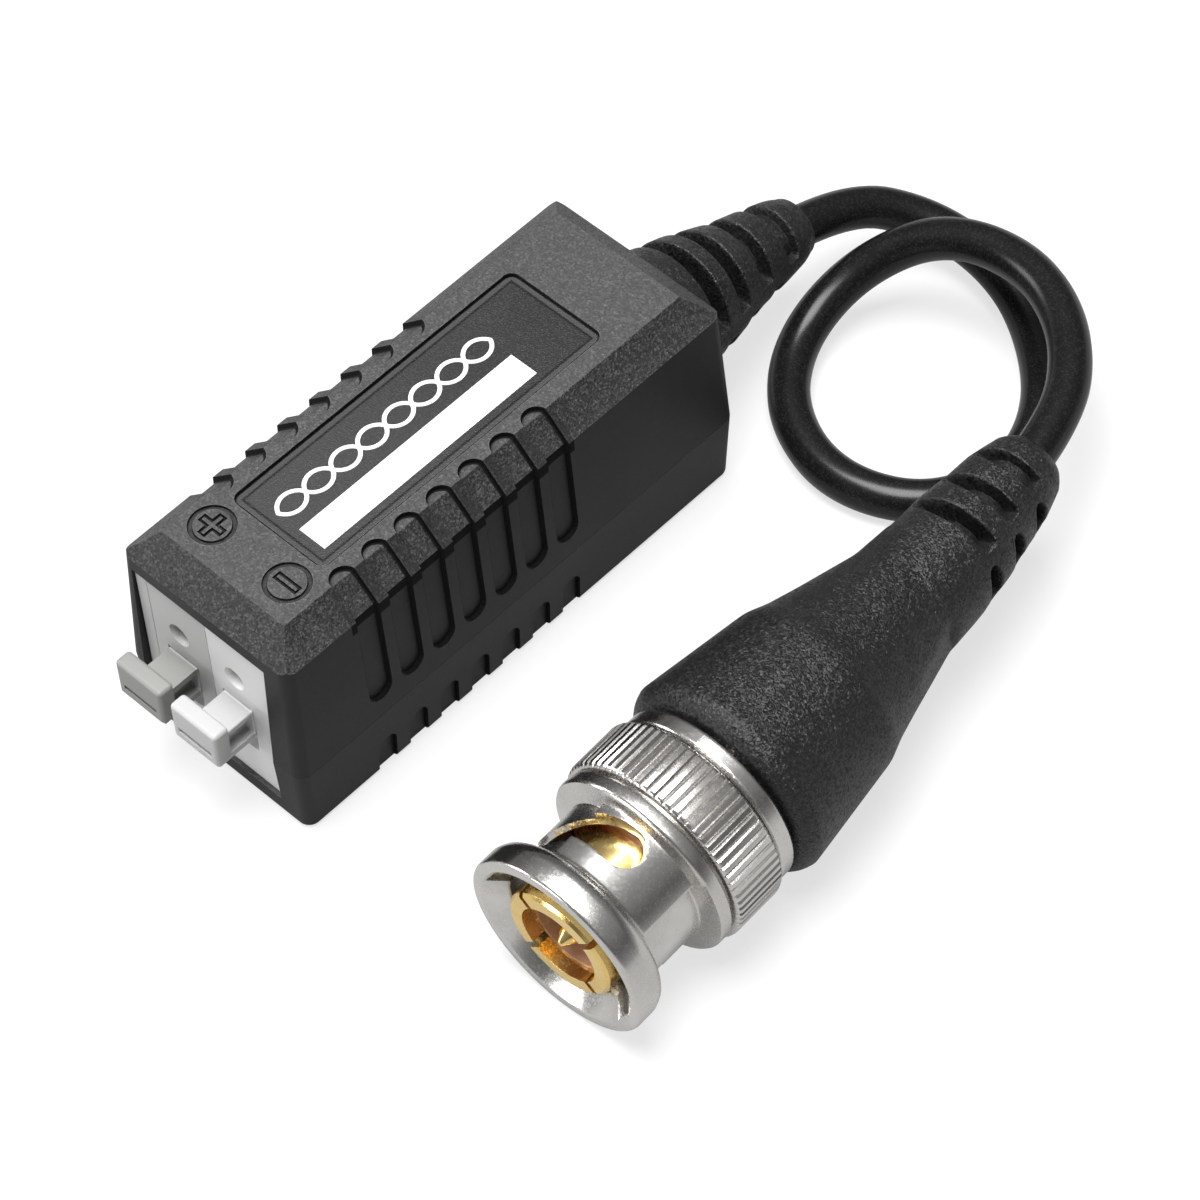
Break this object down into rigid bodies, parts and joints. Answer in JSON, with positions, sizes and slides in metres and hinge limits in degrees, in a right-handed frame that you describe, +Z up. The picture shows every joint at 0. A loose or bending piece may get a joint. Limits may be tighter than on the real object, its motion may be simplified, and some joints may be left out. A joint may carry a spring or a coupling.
{
  "type": "video balun",
  "caption": "Passive video balun: a rounded black housing with a push terminal at one end and a looped coaxial pigtail with a bayonet plug at the other.",
  "frame": {"origin": "centre of the housing's flat underside", "axes": "+Z up from the underside, +Y from the terminal end toward the pigtail, +X toward the plug that lies beside the housing"},
  "size_m": [0.0442, 0.0694, 0.0183],
  "materials": {
    "black_shell": "fine spark-eroded grain",
    "label_dark": "smooth satin sticker",
    "print_white": "printed",
    "board_green": "solder mask",
    "ferrite": "sintered",
    "magnet_wire": "enamelled copper",
    "component_black": "moulded",
    "resistor_body": "lacquered",
    "capacitor_body": "lacquered",
    "grey_terminal": "smooth moulded",
    "white_terminal": "smooth moulded, slightly translucent",
    "spring_steel": "bright",
    "tinned_copper": "tinned",
    "cable_jacket": "semi-gloss",
    "boot_rubber": "fine grain",
    "dielectric": "smooth",
    "nickel": "bright nickel plate",
    "gold": "gold flash",
    "insulator_brown": "smooth",
    "gasket_rubber": "smooth"
  },
  "bodies": {
    "balun": {"upper_cover": "black_shell", "lower_case": "black_shell", "top_label": "label_dark", "label_white_bar": "print_white", "label_wave_print": "print_white", "terminal_side_lid": "grey_terminal", "circuit_board": "board_green", "ferrite_core": "ferrite", "winding_a": "magnet_wire", "winding_b": "magnet_wire", "surge_suppressor": "component_black", "resistor": "resistor_body", "ceramic_capacitor": "capacitor_body", "housing_strain_relief": "boot_rubber", "coax_cable": "cable_jacket", "centre_wire_tail": "tinned_copper", "braid_tail": "tinned_copper", "plug_boot": "boot_rubber", "plug_body": "nickel", "retaining_nut": "nickel", "crimp_ferrule": "nickel", "cable_core": "dielectric", "outer_contact": "gold", "insulator": "insulator_brown", "centre_pin": "gold", "seal_gasket": "gasket_rubber", "spring_washers": "spring_steel", "grey_terminal_body": "grey_terminal", "grey_contact_strip": "tinned_copper", "grey_clamp_spring": "spring_steel", "white_terminal_body": "white_terminal", "white_contact_strip": "tinned_copper", "white_clamp_spring": "spring_steel"},
    "grey_push": {"grey_lever": "grey_terminal"},
    "white_push": {"white_lever": "white_terminal"},
    "sleeve_carrier": {"thrust_washer": "spring_steel"},
    "sleeve": {"bayonet_sleeve": "nickel"}
  },
  "joints": [
    {"name": "grey_lever_push", "type": "slide", "parent": "balun", "child": "grey_push", "axis": [0, 1, 0], "range_m": [0, 0.0018], "stiffness_N_per_m": 1500, "springref_m": -0.002, "deforming": ["grey_clamp_spring"]},
    {"name": "white_lever_push", "type": "slide", "parent": "balun", "child": "white_push", "axis": [0, 1, 0], "range_m": [0, 0.0018], "stiffness_N_per_m": 1500, "springref_m": -0.002, "deforming": ["white_clamp_spring"]},
    {"name": "sleeve_draw", "type": "slide", "parent": "balun", "child": "sleeve_carrier", "axis": [0.0305, -0.9986, -0.0429], "range_m": [0, 0.0007], "stiffness_N_per_m": 10000, "springref_m": -0.0003, "deforming": ["spring_washers"]},
    {"name": "sleeve_turn", "type": "hinge", "parent": "sleeve_carrier", "child": "sleeve", "pos_m": [0.029, -0.01876, 0.00699], "axis": [0.0305, -0.9986, -0.0429], "continuous": true}
  ]
}
